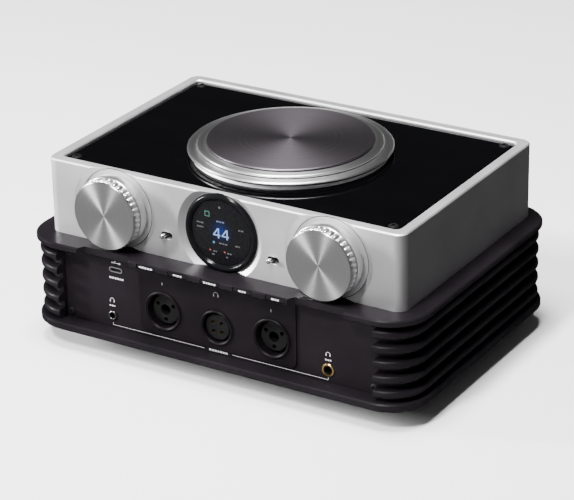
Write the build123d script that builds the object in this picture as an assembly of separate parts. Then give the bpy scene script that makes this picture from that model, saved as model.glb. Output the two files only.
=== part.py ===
from build123d import *
import math
import os

# Desktop headphone amplifier: a bright aluminium upper casing with a dark glass lid, a turned
# disc, two spun knobs and a round display, standing on a black ribbed chassis with the sockets.
# Millimetres. +Z is up, the front faces -Y, and the origin is on the table under the middle.

os.makedirs("parts", exist_ok=True)

# ---------------------------------------------------------------- driving dimensions
CHASSIS_WIDTH = 256.0
CHASSIS_FRONT = -92.5
CHASSIS_BACK = 87.1
CHASSIS_CORNER = 24.0
FOOT_HEIGHT = 12.4
BOTTOM_PLATE_TOP = 17.2
TOP_PLATE_UNDER = 63.5
TOP_PLATE_TOP = 67.5
REAR_LIMIT = 92.5

RIB_INSET = 1.8
RIB_HEIGHT = 5.0
RIB_PITCH = 9.0
RIB_COUNT = 5
RIB_TOP_CENTRE = 57.8
RIB_NOSE = 2.2
RIB_ROOT_INSET = 7.5
RIB_WALL_INSET = 11.5
PANEL_HALF_WIDTH = 104.0
CABLE_SLOT_HALF_WIDTH = 11.0
CABLE_SLOT_Y = (20.0, 28.0)

CASING_HALF_WIDTH = 116.5
CASING_HALF_DEPTH = 78.0
CASING_TOP = 112.9
CASING_CORNER = 6.5
CASING_WALL = 6.7
CASING_INNER_CORNER = 3.0
CASING_CHAMFER = 0.7
GLASS_TOP = 111.4
GLASS_THICKNESS = 3.0
GLASS_LEDGE_WIDTH = 9.0
GLASS_LEDGE_THICKNESS = 3.0

DISC_BASE_RADIUS = 57.4
DISC_BASE_TOP = 113.9
DISC_GAP_RADIUS = 56.4
DISC_GAP_TOP = 114.3
DISC_OUTER_RADIUS = 59.6
DISC_OUTER_TOP = 116.4
DISC_MIDDLE_RADIUS = 54.0
DISC_MIDDLE_TOP = 118.4
DISC_PLATE_RADIUS = 48.6
DISC_SPIGOT_RADIUS = 30.0
DISC_TOP = 120.0

KNOB_X = 70.1
KNOB_Z = 89.8
KNOB_FACE_Y = -89.0
KNOB_FACE_RADIUS = 20.5
KNOB_SKIRT_RADIUS = 21.4
KNOB_TEETH = 40
DISH_RADIUS = 27.5
DISH_FLOOR_RADIUS = 24.0
DISH_DEPTH = 2.4
SHAFT_RADIUS = 3.0
RUNNING_CLEARANCE = 0.06

DISPLAY_Z = 89.3
BEZEL_RADIUS = 23.6
LENS_RADIUS = 19.3
DISPLAY_POCKET_DEPTH = 3.6
MODULE_RADIUS = 15.8
MODULE_LENGTH = 10.4
BEZEL_HEIGHT = 3.0

TOGGLE_X = 35.1
TOGGLE_Z = 81.2
TOGGLE_SLOT_WIDTH = 7.6
TOGGLE_SLOT_HEIGHT = 4.2
TOGGLE_PIVOT_Y = -69.4
TOGGLE_REST_ANGLE = 9.0

NOTCH_DEPTH = 4.6
NOTCH_MOUTH_HALF = 18.5
NOTCH_FLOOR_HALF = 15.5

KEY_COUNT = 5
KEY_FIRST_X = -40.6
KEY_PITCH = 21.3
KEY_WIDTH = 12.0
KEY_HEIGHT = 2.2
KEY_TRAVEL = 0.6
KEY_GAP = 0.3
KEY_STEM_HALF_WIDTH = 1.0
KEY_STEM_LENGTH = 1.0
KEY_STEM_HEIGHT = 1.4
KEY_SWITCH_GAP = 0.2

PANEL_FACE_Y = -82.4
PANEL_THICKNESS = 3.0
SOCKET_PLATE_FACE_Y = -83.2
SOCKET_PLATE_HALF_WIDTH = 52.0
SOCKET_PLATE_BOTTOM = 20.4

COMBO_X = 36.1
COMBO_Z = 35.9
COMBO_FLANGE_RADIUS = 12.2
XLR_Z = 34.0
XLR_FLANGE_RADIUS = 10.8
JACK_X = 71.9
JACK_Z = 24.8
BIG_JACK_BORE = 3.25
SMALL_JACK_BORE = 1.8
MID_JACK_BORE = 2.25
PORT_X = -68.2
PORT_Z = 54.4

REAR_PANEL_FACE_Y = 79.4


# ---------------------------------------------------------------- shape helpers
def block(x0, x1, y0, y1, z0, z1):
    """Box between two opposite corners."""
    centre = Pos((x0 + x1) / 2, (y0 + y1) / 2, (z0 + z1) / 2)
    return centre * Box(x1 - x0, y1 - y0, z1 - z0)


def rod_y(radius, y0, y1, x, z):
    """Cylinder lying along Y."""
    return Pos(x, (y0 + y1) / 2, z) * Rot(90, 0, 0) * Cylinder(radius, abs(y1 - y0))


def rod_z(radius, z0, z1, x, y):
    """Upright cylinder."""
    return Pos(x, y, (z0 + z1) / 2) * Cylinder(radius, abs(z1 - z0))


def turned_y(profile, x, z):
    """Solid turned about a Y axis through (x, z); the profile is (radius, y) points."""
    face = make_face(Polyline(*profile, close=True))
    return Pos(x, 0, z) * revolve(face, axis=Axis.Y)


def turned_z(profile, x, y):
    """Solid turned about an upright axis; the profile is (radius, z) points."""
    face = make_face(Plane.XZ * Polyline(*profile, close=True))
    return Pos(x, y, 0) * revolve(face, axis=Axis.Z)


def rounded_slab(half_width, y_front, y_back, corner, z0, z1):
    """Upright slab with a rounded rectangular outline."""
    outline = RectangleRounded(2 * half_width, y_back - y_front, corner)
    return extrude(Pos(0, (y_front + y_back) / 2, z0) * outline, z1 - z0)


def slot_y(width, height, y0, y1, x, z):
    """Bar along Y with round ends, wider than it is tall."""
    outline = SlotOverall(width, height)
    return extrude(Pos(x, y1, z) * Rot(90, 0, 0) * outline, y1 - y0)


def ring_places(count, radius, x, z, first_deg):
    """Places spread evenly round an axis along Y."""
    step = 360 / count
    angles = [math.radians(first_deg + step * i) for i in range(count)]
    return [(x + radius * math.cos(a), z + radius * math.sin(a)) for a in angles]


def joined(shapes):
    """One node holding several separate solids."""
    return Compound(children=list(shapes))


def save(name, shape):
    export_step(shape, "parts/" + name + ".step")


def chassis_outline(inset, z0, z1):
    """Slab with the chassis outline, drawn in by an even inset."""
    return rounded_slab(
        CHASSIS_WIDTH / 2 - inset,
        CHASSIS_FRONT + inset,
        CHASSIS_BACK - inset,
        CHASSIS_CORNER - inset,
        z0,
        z1,
    )


def softened_slab(slab, top_size, bottom_size):
    """Slab with its top and bottom edges chamfered."""
    top_edges = slab.faces().sort_by(Axis.Z)[-1].edges()
    slab = chamfer(top_edges, top_size)
    bottom_edges = slab.faces().sort_by(Axis.Z)[0].edges()
    return chamfer(bottom_edges, bottom_size)


# ---------------------------------------------------------------- chassis plates, ribs, feet
FOOT_X = 89.0
FOOT_FRONT_Y = -58.0
FOOT_BACK_Y = 54.0
FOOT_RADIUS = 14.0
FOOT_SCREW_RADIUS = 2.0
FOOT_SCREW_HEAD_RADIUS = 3.4
FOOT_SCREW_HEAD_Z = (4.0, 6.0)
FOOT_COUNTERBORE_RADIUS = 4.0
FOOT_PLACES = [(sx * FOOT_X, y) for sx in (-1, 1) for y in (FOOT_FRONT_Y, FOOT_BACK_Y)]


def chassis_bottom_plate():
    plate = softened_slab(chassis_outline(0, FOOT_HEIGHT, BOTTOM_PLATE_TOP), 0.8, 1.0)
    for x, y in FOOT_PLACES:
        plate -= rod_z(FOOT_SCREW_RADIUS, FOOT_HEIGHT - 1, BOTTOM_PLATE_TOP + 1, x, y)
    return plate


def finger_notch(side):
    """Tapered notch in the front edge of the top plate, below a knob."""
    centre = side * KNOB_X
    floor_y = CHASSIS_FRONT + NOTCH_DEPTH
    outline = make_face(
        Polyline(
            (centre - NOTCH_MOUTH_HALF, CHASSIS_FRONT - 1),
            (centre + NOTCH_MOUTH_HALF, CHASSIS_FRONT - 1),
            (centre + NOTCH_FLOOR_HALF, floor_y),
            (centre - NOTCH_FLOOR_HALF, floor_y),
            close=True,
        )
    )
    return extrude(Pos(0, 0, TOP_PLATE_UNDER - 1) * outline, TOP_PLATE_TOP - TOP_PLATE_UNDER + 2)


def key_x(index):
    return KEY_FIRST_X + index * KEY_PITCH


KEY_Z0 = (TOP_PLATE_UNDER + TOP_PLATE_TOP - KEY_HEIGHT) / 2
KEY_BACK_Y = CHASSIS_FRONT + 5.0
KEY_POCKET_BACK_Y = CHASSIS_FRONT + 9.0


def key_body(index, gap):
    """Flat bar key seen from the front edge, grown by a gap for its pocket."""
    half = KEY_WIDTH / 2 + gap
    return block(
        key_x(index) - half,
        key_x(index) + half,
        CHASSIS_FRONT + 0.1 - 2 * gap,
        KEY_BACK_Y,
        KEY_Z0 - gap,
        KEY_Z0 + KEY_HEIGHT + gap,
    )


def chassis_top_plate():
    plate = softened_slab(chassis_outline(0, TOP_PLATE_UNDER, TOP_PLATE_TOP), 0.8, 0.8)
    for side in (-1, 1):
        plate -= finger_notch(side)
    for index in range(KEY_COUNT):
        plate -= key_body(index, KEY_GAP)
        plate -= block(
            key_x(index) - KEY_WIDTH / 2 - KEY_GAP,
            key_x(index) + KEY_WIDTH / 2 + KEY_GAP,
            KEY_BACK_Y - 1,
            KEY_POCKET_BACK_Y,
            KEY_Z0 - KEY_GAP,
            KEY_Z0 + KEY_HEIGHT + KEY_GAP,
        )
    plate -= block(
        -CABLE_SLOT_HALF_WIDTH, CABLE_SLOT_HALF_WIDTH, *CABLE_SLOT_Y, TOP_PLATE_UNDER - 1, TOP_PLATE_TOP + 1
    )
    plate -= rod_y(
        BEZEL_RADIUS + 0.1,
        -CASING_HALF_DEPTH - 1.5,
        -CASING_HALF_DEPTH + DISPLAY_POCKET_DEPTH,
        0,
        DISPLAY_Z,
    )
    return plate


def key(index):
    """One front key, with a softened nose and a stem towards its switch."""
    cap = key_body(index, 0)
    cap = fillet(cap.faces().sort_by(Axis.Y)[0].edges(), 0.4)
    stem_z0 = KEY_Z0 + (KEY_HEIGHT - KEY_STEM_HEIGHT) / 2
    stem = block(
        key_x(index) - KEY_STEM_HALF_WIDTH,
        key_x(index) + KEY_STEM_HALF_WIDTH,
        KEY_BACK_Y - 0.5,
        KEY_BACK_Y + KEY_STEM_LENGTH,
        stem_z0,
        stem_z0 + KEY_STEM_HEIGHT,
    )
    return cap + stem


def key_switches():
    """Small tact switch at the back of each key pocket."""
    front = KEY_BACK_Y + KEY_STEM_LENGTH + KEY_TRAVEL + KEY_SWITCH_GAP
    return joined(
        block(key_x(i) - 2, key_x(i) + 2, front, KEY_POCKET_BACK_Y, KEY_Z0, KEY_Z0 + KEY_HEIGHT)
        for i in range(KEY_COUNT)
    )


def rib_band():
    """Wall with rounded fins that runs right round the chassis, before it is divided."""
    band = chassis_outline(RIB_ROOT_INSET, BOTTOM_PLATE_TOP, TOP_PLATE_UNDER)
    for index in range(RIB_COUNT):
        middle = RIB_TOP_CENTRE - index * RIB_PITCH
        fin = chassis_outline(RIB_INSET, middle - RIB_HEIGHT / 2, middle + RIB_HEIGHT / 2)
        nose_edges = fin.faces().sort_by(Axis.Z)[-1].edges() + fin.faces().sort_by(Axis.Z)[0].edges()
        band += fillet(nose_edges, RIB_NOSE)
    return band - chassis_outline(RIB_WALL_INSET, BOTTOM_PLATE_TOP - 1, TOP_PLATE_UNDER + 1)


def heatsink(band, side):
    """Left or right half of the ribbed band: side wall, two corners and their short returns."""
    inner = PANEL_HALF_WIDTH + 0.2
    outer = CHASSIS_WIDTH / 2 + 1
    x0, x1 = sorted((side * inner, side * outer))
    cutter = block(x0, x1, CHASSIS_FRONT - 1, CHASSIS_BACK + 1, BOTTOM_PLATE_TOP - 1, TOP_PLATE_UNDER + 1)
    return band & cutter


def feet():
    """Four rubber feet, each sunk round its screw."""
    rubber = []
    for x, y in FOOT_PLACES:
        foot = turned_z(
            [
                (0, 0),
                (FOOT_RADIUS - 2.5, 0),
                (FOOT_RADIUS - 1.2, 1.2),
                (FOOT_RADIUS, FOOT_HEIGHT - 1),
                (FOOT_RADIUS, FOOT_HEIGHT),
                (0, FOOT_HEIGHT),
            ],
            x,
            y,
        )
        foot -= rod_z(FOOT_COUNTERBORE_RADIUS, -1, FOOT_SCREW_HEAD_Z[1], x, y)
        foot -= rod_z(FOOT_SCREW_RADIUS, FOOT_SCREW_HEAD_Z[0], FOOT_HEIGHT + 1, x, y)
        rubber.append(foot)
    return joined(rubber)


def foot_screws():
    head_under, head_top = FOOT_SCREW_HEAD_Z
    return joined(
        rod_z(FOOT_SCREW_HEAD_RADIUS, head_under, head_top, x, y)
        + rod_z(FOOT_SCREW_RADIUS, head_top, BOTTOM_PLATE_TOP, x, y)
        for x, y in FOOT_PLACES
    )


# ---------------------------------------------------------------- upper casing, lid and disc
def knob_dish(x, z):
    """Shallow cone sunk into the casing's front face."""
    front = -CASING_HALF_DEPTH
    return turned_y(
        [
            (0, front - 1),
            (DISH_RADIUS + 0.6, front - 1),
            (DISH_RADIUS, front),
            (DISH_FLOOR_RADIUS, front + DISH_DEPTH),
            (0, front + DISH_DEPTH),
        ],
        x,
        z,
    )


GLASS_HALF_WIDTH = CASING_HALF_WIDTH - CASING_WALL - 0.15
GLASS_HALF_DEPTH = CASING_HALF_DEPTH - CASING_WALL - 0.15
LEDGE_TOP = GLASS_TOP - GLASS_THICKNESS
LID_SCREW_X = 103.7
LID_SCREW_Y = 65.8
LID_SCREW_RADIUS = 1.5
LID_SCREW_HEAD_RADIUS = 2.9
LID_SCREW_SOCKET = 1.1
LID_SCREW_PLACES = [(sx * LID_SCREW_X, sy * LID_SCREW_Y) for sx in (-1, 1) for sy in (-1, 1)]


def casing_opening(inset, corner, z0, z1):
    return rounded_slab(
        CASING_HALF_WIDTH - inset,
        -CASING_HALF_DEPTH + inset,
        CASING_HALF_DEPTH - inset,
        corner,
        z0,
        z1,
    )


def upper_casing():
    body = casing_opening(0, CASING_CORNER, TOP_PLATE_TOP, CASING_TOP)
    body = chamfer(body.faces().sort_by(Axis.Z)[-1].edges(), CASING_CHAMFER)
    body -= casing_opening(CASING_WALL, CASING_INNER_CORNER, LEDGE_TOP, CASING_TOP + 1)
    flare = casing_opening(
        CASING_WALL - CASING_CHAMFER,
        CASING_INNER_CORNER + CASING_CHAMFER,
        CASING_TOP - CASING_CHAMFER,
        CASING_TOP,
    )
    body -= chamfer(flare.faces().sort_by(Axis.Z)[0].edges(), CASING_CHAMFER * 0.98)
    body -= casing_opening(
        CASING_WALL + GLASS_LEDGE_WIDTH, 2.0, LEDGE_TOP - GLASS_LEDGE_THICKNESS - 1, LEDGE_TOP + 1
    )
    body -= casing_opening(
        CASING_WALL, CASING_INNER_CORNER, TOP_PLATE_TOP - 1, LEDGE_TOP - GLASS_LEDGE_THICKNESS
    )
    for side in (-1, 1):
        body -= knob_dish(side * KNOB_X, KNOB_Z)
        body -= rod_y(
            SHAFT_RADIUS + RUNNING_CLEARANCE,
            -CASING_HALF_DEPTH,
            -CASING_HALF_DEPTH + CASING_WALL + 1,
            side * KNOB_X,
            KNOB_Z,
        )
        body -= slot_y(
            TOGGLE_SLOT_WIDTH,
            TOGGLE_SLOT_HEIGHT,
            -CASING_HALF_DEPTH - 1,
            -CASING_HALF_DEPTH + CASING_WALL + 1,
            side * TOGGLE_X,
            TOGGLE_Z,
        )
    body -= knob_dish(0, DISPLAY_Z)
    body -= rod_y(
        BEZEL_RADIUS + 0.1, -CASING_HALF_DEPTH - 1, -CASING_HALF_DEPTH + DISPLAY_POCKET_DEPTH, 0, DISPLAY_Z
    )
    body -= rod_y(MODULE_RADIUS + 0.1, -CASING_HALF_DEPTH, -CASING_HALF_DEPTH + CASING_WALL + 1, 0, DISPLAY_Z)
    for x, y in LID_SCREW_PLACES:
        body -= rod_z(LID_SCREW_RADIUS, LEDGE_TOP - GLASS_LEDGE_THICKNESS - 1, LEDGE_TOP + 1, x, y)
    return body


def top_glass():
    glass = rounded_slab(
        GLASS_HALF_WIDTH,
        -GLASS_HALF_DEPTH,
        GLASS_HALF_DEPTH,
        CASING_INNER_CORNER,
        LEDGE_TOP,
        GLASS_TOP,
    )
    glass = chamfer(glass.faces().sort_by(Axis.Z)[-1].edges(), 0.3)
    for x, y in LID_SCREW_PLACES:
        glass -= rod_z(LID_SCREW_RADIUS + 0.2, LEDGE_TOP - 1, GLASS_TOP + 1, x, y)
    return glass


def lid_screws():
    """Low button heads with a hexagon socket, their shanks down into the ledge."""
    screws = []
    for x, y in LID_SCREW_PLACES:
        screw = turned_z(
            [
                (0, LEDGE_TOP - GLASS_LEDGE_THICKNESS),
                (LID_SCREW_RADIUS, LEDGE_TOP - GLASS_LEDGE_THICKNESS),
                (LID_SCREW_RADIUS, GLASS_TOP),
                (LID_SCREW_HEAD_RADIUS, GLASS_TOP),
                (LID_SCREW_HEAD_RADIUS, GLASS_TOP + 0.35),
                (LID_SCREW_HEAD_RADIUS - 0.7, GLASS_TOP + 0.95),
                (0, GLASS_TOP + 1.15),
            ],
            x,
            y,
        )
        socket = extrude(Pos(x, y, GLASS_TOP + 0.1) * RegularPolygon(LID_SCREW_SOCKET, 6), 2)
        screws.append(screw - socket)
    return joined(screws)


def disc_base_ring():
    """Polished foot of the turned disc, clamped on the lid."""
    return turned_z(
        [
            (0, GLASS_TOP),
            (DISC_BASE_RADIUS - 0.8, GLASS_TOP),
            (DISC_BASE_RADIUS, GLASS_TOP + 0.8),
            (DISC_BASE_RADIUS, DISC_BASE_TOP),
            (0, DISC_BASE_TOP),
        ],
        0,
        0,
    )


def disc_gap_plate():
    """Dark spacer that leaves a shadow line between the base and the steps."""
    return rod_z(DISC_GAP_RADIUS, DISC_BASE_TOP, DISC_GAP_TOP, 0, 0)


def disc_step(radius, z0, z1, lower_chamfer, upper_chamfer):
    """One turned step of the disc, a ring round the spigot with chamfered edges."""
    return turned_z(
        [
            (DISC_SPIGOT_RADIUS, z0),
            (radius - lower_chamfer, z0),
            (radius, z0 + lower_chamfer),
            (radius, z1 - upper_chamfer),
            (radius - upper_chamfer, z1),
            (DISC_SPIGOT_RADIUS, z1),
        ],
        0,
        0,
    )


def disc_outer_ring():
    """Widest step of the disc."""
    return disc_step(DISC_OUTER_RADIUS, DISC_GAP_TOP, DISC_OUTER_TOP, 0.7, 0.8)


def disc_middle_ring():
    return disc_step(DISC_MIDDLE_RADIUS, DISC_OUTER_TOP, DISC_MIDDLE_TOP, 0.6, 0.7)


def disc_top_plate():
    """Turned top plate on a spigot that centres the two rings."""
    spigot = DISC_SPIGOT_RADIUS - 0.05
    return turned_z(
        [
            (0, DISC_GAP_TOP),
            (spigot, DISC_GAP_TOP),
            (spigot, DISC_MIDDLE_TOP),
            (DISC_PLATE_RADIUS - 0.4, DISC_MIDDLE_TOP),
            (DISC_PLATE_RADIUS, DISC_MIDDLE_TOP + 0.4),
            (DISC_PLATE_RADIUS, DISC_TOP - 0.6),
            (DISC_PLATE_RADIUS - 0.6, DISC_TOP),
            (0, DISC_TOP),
        ],
        0,
        0,
    )


# ---------------------------------------------------------------- knobs, toggles, display
SKIRT_BACK_Y = -CASING_HALF_DEPTH + DISH_DEPTH - 0.4
FLUTE_BACK_Y = -83.4
FLUTE_FRONT_Y = -87.3
FACE_BACK_Y = -88.0
SKIRT_RECESS = 1.5
KNOB_HUB_RADIUS = 19.0
KNOB_NECK_RADIUS = 18.9
FLUTE_RADIUS = 1.15
FLUTE_RING_RADIUS = KNOB_SKIRT_RADIUS + 0.1


def knob_body(x):
    """Hollow-backed skirt, fluted grip ring and the narrow neck behind the face disc."""
    body = turned_y(
        [
            (SHAFT_RADIUS, SKIRT_BACK_Y - SKIRT_RECESS),
            (KNOB_HUB_RADIUS, SKIRT_BACK_Y - SKIRT_RECESS),
            (KNOB_HUB_RADIUS, SKIRT_BACK_Y),
            (KNOB_SKIRT_RADIUS - 0.4, SKIRT_BACK_Y),
            (KNOB_SKIRT_RADIUS, SKIRT_BACK_Y - 0.4),
            (KNOB_SKIRT_RADIUS, FLUTE_BACK_Y + 0.5),
            (KNOB_SKIRT_RADIUS - 0.5, FLUTE_BACK_Y),
            (KNOB_SKIRT_RADIUS - 0.5, FLUTE_FRONT_Y + 0.4),
            (KNOB_SKIRT_RADIUS - 0.9, FLUTE_FRONT_Y),
            (KNOB_NECK_RADIUS, FLUTE_FRONT_Y),
            (KNOB_NECK_RADIUS, FACE_BACK_Y),
            (SHAFT_RADIUS, FACE_BACK_Y),
        ],
        x,
        KNOB_Z,
    )
    flute_y = (FLUTE_BACK_Y + FLUTE_FRONT_Y) / 2 - 0.3
    half_length = (FLUTE_BACK_Y - FLUTE_FRONT_Y) / 2
    flutes = [
        rod_y(FLUTE_RADIUS, flute_y - half_length, flute_y + half_length, flute_x, flute_z)
        for flute_x, flute_z in ring_places(KNOB_TEETH, FLUTE_RING_RADIUS, x, KNOB_Z, 0)
    ]
    return body - flutes


def knob_face(x):
    """Thin spun disc with a bright chamfer."""
    return turned_y(
        [
            (0, FACE_BACK_Y),
            (KNOB_FACE_RADIUS - 0.2, FACE_BACK_Y),
            (KNOB_FACE_RADIUS, FACE_BACK_Y - 0.2),
            (KNOB_FACE_RADIUS, KNOB_FACE_Y + 0.4),
            (KNOB_FACE_RADIUS - 0.4, KNOB_FACE_Y),
            (0, KNOB_FACE_Y),
        ],
        x,
        KNOB_Z,
    )


SHAFT_BACK_Y = -63.0
CONTROL_HALF_SIZE = 11.0
CONTROL_LENGTH = 20.0


def knob_shaft(x):
    return rod_y(SHAFT_RADIUS, FACE_BACK_Y, SHAFT_BACK_Y, x, KNOB_Z)


def knob_control(x):
    """Rotary control behind the casing wall, with a blind hole that guides the shaft."""
    front = -CASING_HALF_DEPTH + CASING_WALL
    half = CONTROL_HALF_SIZE
    body = block(x - half, x + half, front, front + CONTROL_LENGTH, KNOB_Z - half, KNOB_Z + half)
    return body - rod_y(SHAFT_RADIUS + RUNNING_CLEARANCE, front - 1, SHAFT_BACK_Y + 0.5, x, KNOB_Z)


LEVER_LENGTH = 11.0
LEVER_ROOT_RADIUS = 0.9
LEVER_TIP_RADIUS = 1.35
LEVER_HEAD_RADIUS = 1.7
LEVER_BALL_RADIUS = 1.4


def toggle_lever(x):
    """Small chrome lever with a flattened tip, leaning to one side of its slot."""
    taper = [(0, 0), (LEVER_ROOT_RADIUS, 0), (LEVER_TIP_RADIUS, -LEVER_LENGTH), (0, -LEVER_LENGTH)]
    stem = turned_y(taper, 0, 0)
    head = Pos(0, -LEVER_LENGTH, 0) * scale(Sphere(LEVER_HEAD_RADIUS), by=(1.0, 0.85, 0.85))
    lever = stem + head + Sphere(LEVER_BALL_RADIUS)
    return Pos(x, TOGGLE_PIVOT_Y, TOGGLE_Z) * Rot(0, 0, -TOGGLE_REST_ANGLE) * lever


TOGGLE_SWITCH_SIZE = (12.0, 10.0, 8.0)


def toggle_switch(x):
    """Switch block behind the slot, open at the front for the lever's ball."""
    front = -CASING_HALF_DEPTH + CASING_WALL
    width, length, height = TOGGLE_SWITCH_SIZE
    body = Pos(x, front + length / 2, TOGGLE_Z) * Box(width, length, height)
    return body - slot_y(TOGGLE_SLOT_WIDTH, TOGGLE_SLOT_HEIGHT, front - 1, front + 4.5, x, TOGGLE_Z)


POCKET_FLOOR_Y = -CASING_HALF_DEPTH + DISPLAY_POCKET_DEPTH
LENS_FACE_Y = POCKET_FLOOR_Y - 1.4


def display_bezel():
    """Deep gloss ring round the lens, bevelled inwards."""
    return turned_y(
        [
            (LENS_RADIUS + 0.1, POCKET_FLOOR_Y),
            (BEZEL_RADIUS, POCKET_FLOOR_Y),
            (BEZEL_RADIUS, POCKET_FLOOR_Y - BEZEL_HEIGHT + 0.6),
            (BEZEL_RADIUS - 0.7, POCKET_FLOOR_Y - BEZEL_HEIGHT),
            (BEZEL_RADIUS - 1.9, POCKET_FLOOR_Y - BEZEL_HEIGHT),
            (LENS_RADIUS + 0.1, LENS_FACE_Y - 0.1),
        ],
        0,
        DISPLAY_Z,
    )


def display_lens():
    lens = rod_y(LENS_RADIUS, LENS_FACE_Y, POCKET_FLOOR_Y, 0, DISPLAY_Z)
    return chamfer(lens.faces().sort_by(Axis.Y)[0].edges(), 0.2)


def display_module():
    return rod_y(MODULE_RADIUS, POCKET_FLOOR_Y, POCKET_FLOOR_Y + MODULE_LENGTH, 0, DISPLAY_Z)


# ---------------------------------------------------------------- front panel and its sockets
PANEL_SCREW_X = 100.9
PANEL_SCREW_Z = (21.4, 59.3)
PANEL_SCREW_PLACES = [(sx * PANEL_SCREW_X, z) for sx in (-1, 1) for z in PANEL_SCREW_Z]
PANEL_SCREW_RADIUS = 1.5
PANEL_SCREW_HEAD_RADIUS = 2.3
PANEL_SCREW_SOCKET = 0.9
PANEL_BACK_Y = PANEL_FACE_Y + PANEL_THICKNESS
BARREL_CLEARANCE = 0.1
COMBO_BARREL_RADIUS = 11.4
XLR_BARREL_RADIUS = 10.0
MID_JACK_BARREL = 4.0
SMALL_JACK_BARREL = 3.0
PORT_WIDTH = 9.0
PORT_HEIGHT = 3.3
PORT_WALL = 0.5
PORT_DEPTH = 8.0
PORT_TONGUE_HALF_WIDTH = 3.2
PORT_TONGUE_HALF_HEIGHT = 0.35


def front_socket_holes(y0, y1):
    holes = [
        rod_y(COMBO_BARREL_RADIUS + BARREL_CLEARANCE, y0, y1, side * COMBO_X, COMBO_Z) for side in (-1, 1)
    ]
    holes.append(rod_y(XLR_BARREL_RADIUS + BARREL_CLEARANCE, y0, y1, 0, XLR_Z))
    return holes


def front_panel():
    panel = block(
        -PANEL_HALF_WIDTH, PANEL_HALF_WIDTH, PANEL_FACE_Y, PANEL_BACK_Y, BOTTOM_PLATE_TOP, TOP_PLATE_UNDER
    )
    for hole in front_socket_holes(PANEL_FACE_Y - 1, PANEL_BACK_Y + 1):
        panel -= hole
    panel -= rod_y(SMALL_JACK_BARREL, PANEL_FACE_Y - 1, PANEL_BACK_Y + 1, -JACK_X, JACK_Z)
    panel -= rod_y(MID_JACK_BARREL, PANEL_FACE_Y - 1, PANEL_BACK_Y + 1, JACK_X, JACK_Z)
    panel -= slot_y(PORT_WIDTH, PORT_HEIGHT, PANEL_FACE_Y - 1, PANEL_BACK_Y + 1, PORT_X, PORT_Z)
    for x, z in PANEL_SCREW_PLACES:
        panel -= rod_y(PANEL_SCREW_RADIUS, PANEL_FACE_Y - 1, PANEL_BACK_Y + 1, x, z)
    return panel


def socket_plate():
    """Thin raised plate behind the three large sockets, with rounded lower corners."""
    plate = block(
        -SOCKET_PLATE_HALF_WIDTH,
        SOCKET_PLATE_HALF_WIDTH,
        SOCKET_PLATE_FACE_Y,
        PANEL_FACE_Y,
        SOCKET_PLATE_BOTTOM,
        TOP_PLATE_UNDER,
    )
    lower_corners = plate.edges().filter_by(Axis.Y).sort_by(Axis.Z)[:2]
    plate = fillet(lower_corners, 5.0)
    for hole in front_socket_holes(SOCKET_PLATE_FACE_Y - 1, PANEL_FACE_Y + 1):
        plate -= hole
    return plate


def socket_shell(flange_radius, barrel_radius, bore_radius, depth, x, z):
    """Round shell of a panel socket: bevelled flange on the plate and a barrel through it."""
    face = SOCKET_PLATE_FACE_Y
    return turned_y(
        [
            (bore_radius, face + depth),
            (barrel_radius, face + depth),
            (barrel_radius, face),
            (flange_radius, face),
            (flange_radius, face - 0.5),
            (flange_radius - 0.7, face - 1.1),
            (bore_radius + 0.9, face - 1.1),
            (bore_radius, face - 0.3),
        ],
        x,
        z,
    )


COMBO_BORE_RADIUS = 10.2
COMBO_INSERT_RADIUS = 8.9
COMBO_DEPTH = 22.0
COMBO_RECESS = 2.6
BIG_JACK_DEPTH = 15.0
SOCKET_FLOOR = 3.0
XLR_BORE_RADIUS = 9.0
XLR_INSERT_RADIUS = 7.9
XLR_DEPTH = 18.0
XLR_RECESS = 0.8
XLR_PIN_HOLE = 1.3
XLR_PIN_RING = 3.9


def combo_shell(x):
    shell = socket_shell(
        COMBO_FLANGE_RADIUS, COMBO_BARREL_RADIUS, COMBO_BORE_RADIUS, COMBO_DEPTH, x, COMBO_Z
    )
    floor_y = SOCKET_PLATE_FACE_Y + COMBO_DEPTH
    return shell + rod_y(COMBO_BORE_RADIUS + 0.2, floor_y - SOCKET_FLOOR, floor_y, x, COMBO_Z)


def combo_insert(x):
    """Core with the large jack bore and three pin holes round it."""
    face = SOCKET_PLATE_FACE_Y + COMBO_RECESS
    core = rod_y(COMBO_INSERT_RADIUS, face, SOCKET_PLATE_FACE_Y + COMBO_DEPTH - SOCKET_FLOOR, x, COMBO_Z)
    core = chamfer(core.faces().sort_by(Axis.Y)[0].edges(), 0.6)
    core -= rod_y(BIG_JACK_BORE, face - 1, face + BIG_JACK_DEPTH, x, COMBO_Z)
    for hole_x, hole_z in ring_places(3, 6.0, x, COMBO_Z, -90):
        core -= rod_y(XLR_PIN_HOLE, face - 1, face + 9, hole_x, hole_z)
    return core


def combo_latch(x):
    """Release tab above the core, in the gap that the plug's shell fills."""
    face = SOCKET_PLATE_FACE_Y + 0.2
    return block(x - 2.6, x + 2.6, face, face + 6, COMBO_Z + 8.95, COMBO_Z + 9.85)


def xlr_shell():
    shell = socket_shell(XLR_FLANGE_RADIUS, XLR_BARREL_RADIUS, XLR_BORE_RADIUS, XLR_DEPTH, 0, XLR_Z)
    floor_y = SOCKET_PLATE_FACE_Y + XLR_DEPTH
    return shell + rod_y(XLR_BORE_RADIUS + 0.2, floor_y - SOCKET_FLOOR, floor_y, 0, XLR_Z)


XLR_PIN_PLACES = ring_places(4, XLR_PIN_RING, 0, XLR_Z, 45)


def xlr_insert():
    face = SOCKET_PLATE_FACE_Y + XLR_RECESS
    core = rod_y(XLR_INSERT_RADIUS, face, SOCKET_PLATE_FACE_Y + XLR_DEPTH - SOCKET_FLOOR, 0, XLR_Z)
    core = chamfer(core.faces().sort_by(Axis.Y)[0].edges(), 0.5)
    for x, z in XLR_PIN_PLACES:
        core -= rod_y(XLR_PIN_HOLE, face - 1, face + 11, x, z)
    return core


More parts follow.
